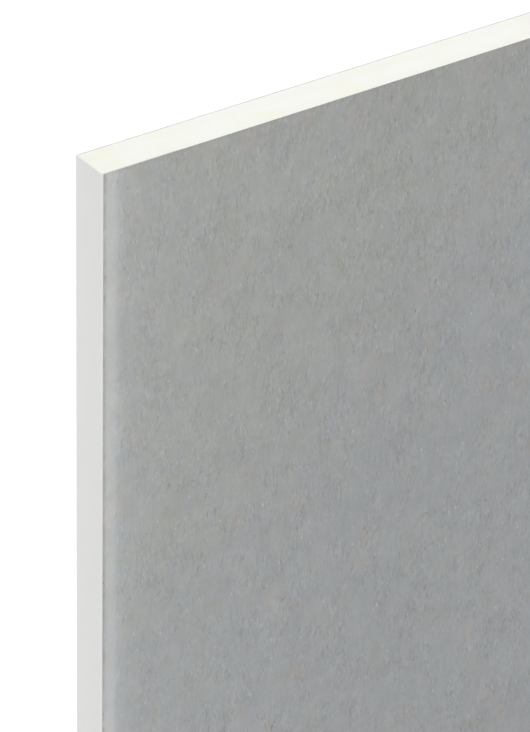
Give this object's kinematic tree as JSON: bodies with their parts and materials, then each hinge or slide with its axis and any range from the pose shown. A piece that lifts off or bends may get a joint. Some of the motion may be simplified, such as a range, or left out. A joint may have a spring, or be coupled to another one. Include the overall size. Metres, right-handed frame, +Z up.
{
  "type": "drywall sheet",
  "caption": "Flat square-edge board of gypsum between a pale face paper that wraps the long edges and a grey back paper, for lining walls and ceilings.",
  "frame": {"origin": "on the floor under the middle of the sheet, at the centre of the pale face", "axes": "+X across the width, +Y along the length and the paper's grain, +Z up through the thickness, out of the grey back"},
  "size_m": [1.2, 2.4, 0.0125],
  "materials": {
    "gypsum": "matte, fine pores on the sawn ends",
    "face_paper": "matte, smooth",
    "back_paper": "matte, fibrous, with fine specks"
  },
  "bodies": {
    "root": {"gypsum_core": "gypsum", "face_paper": "face_paper", "back_paper": "back_paper"}
  },
  "joints": []
}
